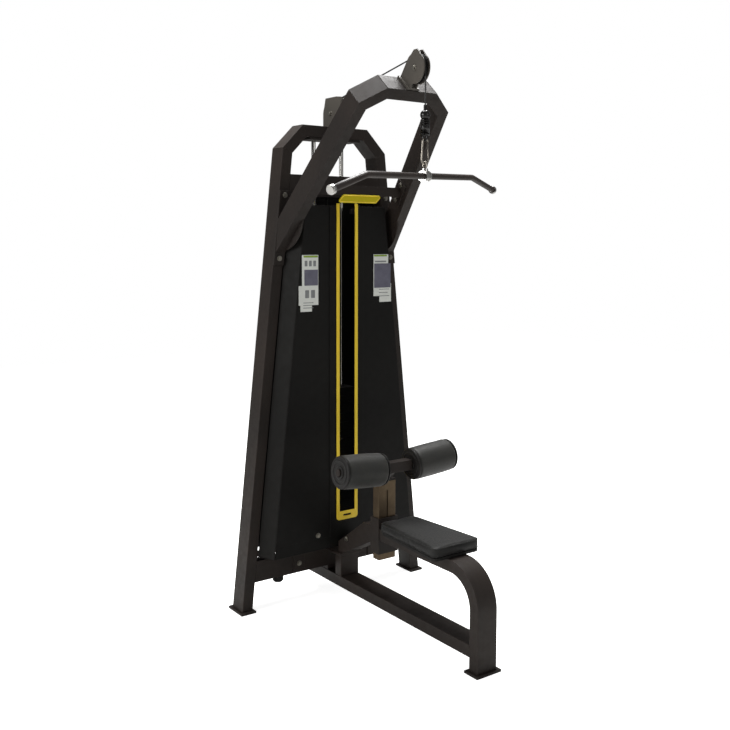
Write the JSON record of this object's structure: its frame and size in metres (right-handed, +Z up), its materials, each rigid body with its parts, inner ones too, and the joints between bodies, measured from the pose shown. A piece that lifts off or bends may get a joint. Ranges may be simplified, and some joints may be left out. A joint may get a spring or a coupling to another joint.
{
  "type": "lat pulldown machine",
  "caption": "Lat pulldown machine with a selectorised stack in a tapered shroud, a cable over two pulleys to a drooped bar, knee rollers on an adjusting column, and a padded seat.",
  "frame": {"origin": "floor level at the middle of the machine's footprint", "axes": "+Z up; +X towards the right hand of a viewer who faces the shroud, across the machine; -Y towards the front leg and the user, +Y towards the rear cover"},
  "size_m": [1.291, 1.266, 2.4142],
  "materials": {
    "frame_paint": "satin",
    "shroud_paint": "matte",
    "black_plastic": "matte",
    "black_rubber": "matte",
    "yellow_trim": "satin",
    "name_yellow": "satin",
    "placard_film": "matte",
    "chrome": "polished",
    "bare_steel": "brushed",
    "column_steel": "brushed",
    "zinc_bolt": "satin",
    "stack_paint": "satin",
    "cable_jacket": "satin",
    "bracket_paint": "satin",
    "seat_vinyl": "satin",
    "roller_foam": "matte",
    "bar_sleeve": "satin"
  },
  "bodies": {
    "frame": {"left_upright": "frame_paint", "right_upright": "frame_paint", "left_shoulder": "frame_paint", "right_shoulder": "frame_paint", "crown_beam": "frame_paint", "upper_cross_beam": "frame_paint", "lower_cross_beam": "frame_paint", "base_beam": "frame_paint", "base_saddle": "frame_paint", "front_leg": "frame_paint", "seat_post": "frame_paint", "column_sleeve": "frame_paint", "foot_plates": "frame_paint", "left_boom_leg": "frame_paint", "right_boom_leg": "frame_paint", "left_boom_corner": "frame_paint", "right_boom_corner": "frame_paint", "boom_crown": "frame_paint", "boom_mounts": "frame_paint", "boom_cross_tube": "frame_paint", "name_plate": "name_yellow", "frame_bolts": "zinc_bolt", "front_pulley_bracket": "bracket_paint", "rear_pulley_bracket": "bracket_paint", "pulley_axles": "zinc_bolt", "guide_rods": "chrome", "rod_head_plate": "frame_paint", "stack_base_plate": "frame_paint", "rubber_bumpers": "black_rubber", "shroud_face": "shroud_paint", "shroud_left_wall": "shroud_paint", "shroud_right_wall": "shroud_paint", "shroud_rails": "frame_paint", "slot_trim": "yellow_trim", "placards": "placard_film", "rear_cover": "shroud_paint", "resting_plates": "stack_paint", "seat_board": "black_plastic", "seat_cushion": "seat_vinyl", "fixed_cable": "cable_jacket"},
    "stack": {"lifting_plates": "stack_paint", "selector_head": "bare_steel", "rear_cable_drop": "cable_jacket"},
    "pin": {"selector_pin": "black_plastic"},
    "front_pulley": {"front_pulley": "black_plastic"},
    "rear_pulley": {"rear_pulley": "black_plastic"},
    "cable_end": {"front_cable_drop": "cable_jacket", "cable_stop": "black_rubber"},
    "carabiner": {"carabiner": "chrome", "swivel_eye": "chrome"},
    "gate": {"carabiner_gate": "chrome"},
    "bar": {"lat_bar": "bar_sleeve", "bar_fittings": "chrome"},
    "knee_unit": {"knee_column": "column_steel", "knee_head": "frame_paint"},
    "left_roller": {"left_roller_core": "black_plastic", "left_roller_foam": "roller_foam"},
    "right_roller": {"right_roller_core": "black_plastic", "right_roller_foam": "roller_foam"},
    "clamp_knob": {"clamp_knob": "black_plastic"}
  },
  "joints": [
    {"name": "stack_lift", "type": "slide", "parent": "frame", "child": "stack", "axis": [0, 0, 1], "range_m": [0, 0.85], "deforming": ["rear_cable_drop"]},
    {"name": "bar_pull", "type": "slide", "parent": "frame", "child": "cable_end", "axis": [0, 0, -1], "range_m": [0, 0.85], "deforming": ["front_cable_drop"]},
    {"name": "front_pulley_spin", "type": "hinge", "parent": "frame", "child": "front_pulley", "pos_m": [0, -0.16, 2.341], "axis": [1, 0, 0], "range_deg": [0, 956]},
    {"name": "rear_pulley_spin", "type": "hinge", "parent": "frame", "child": "rear_pulley", "pos_m": [0, 0.464, 2.221], "axis": [1, 0, 0], "range_deg": [0, 956]},
    {"name": "pin_pull", "type": "slide", "parent": "stack", "child": "pin", "axis": [0, -1, 0], "range_m": [0, 0.07]},
    {"name": "carabiner_swing", "type": "hinge", "parent": "cable_end", "child": "carabiner", "pos_m": [0, -0.211, 2.0637], "axis": [1, 0, 0], "range_deg": [-15, 15]},
    {"name": "gate_open", "type": "hinge", "parent": "carabiner", "child": "gate", "pos_m": [0.017, -0.211, 1.9835], "axis": [0, -1, 0], "range_deg": [0, 16], "stiffness_Nm_per_rad": 0.2, "springref_deg": -5.73},
    {"name": "bar_swivel", "type": "hinge", "parent": "carabiner", "child": "bar", "pos_m": [0, -0.211, 1.936], "axis": [0, 0, 1], "range_deg": [-70, 20]},
    {"name": "knee_height", "type": "slide", "parent": "frame", "child": "knee_unit", "axis": [0, 0, 1], "range_m": [-0.08, 0.1]},
    {"name": "left_roller_spin", "type": "hinge", "parent": "knee_unit", "child": "left_roller", "pos_m": [-0.076, -0.029, 0.691], "axis": [-0.9969, 0, 0.0785], "continuous": true},
    {"name": "right_roller_spin", "type": "hinge", "parent": "knee_unit", "child": "right_roller", "pos_m": [0.076, -0.029, 0.691], "axis": [0.9969, 0, 0.0785], "continuous": true},
    {"name": "clamp_turn", "type": "hinge", "parent": "frame", "child": "clamp_knob", "pos_m": [0.06, 0.0575, 0.395], "axis": [1, 0, 0], "range_deg": [-180, 180]}
  ],
  "couplings": [
    {"joint": "bar_pull", "follows": "stack_lift", "ratio": 1},
    {"joint": "front_pulley_spin", "follows": "stack_lift", "rad_per_m": 19.608},
    {"joint": "rear_pulley_spin", "follows": "stack_lift", "rad_per_m": 19.608}
  ]
}
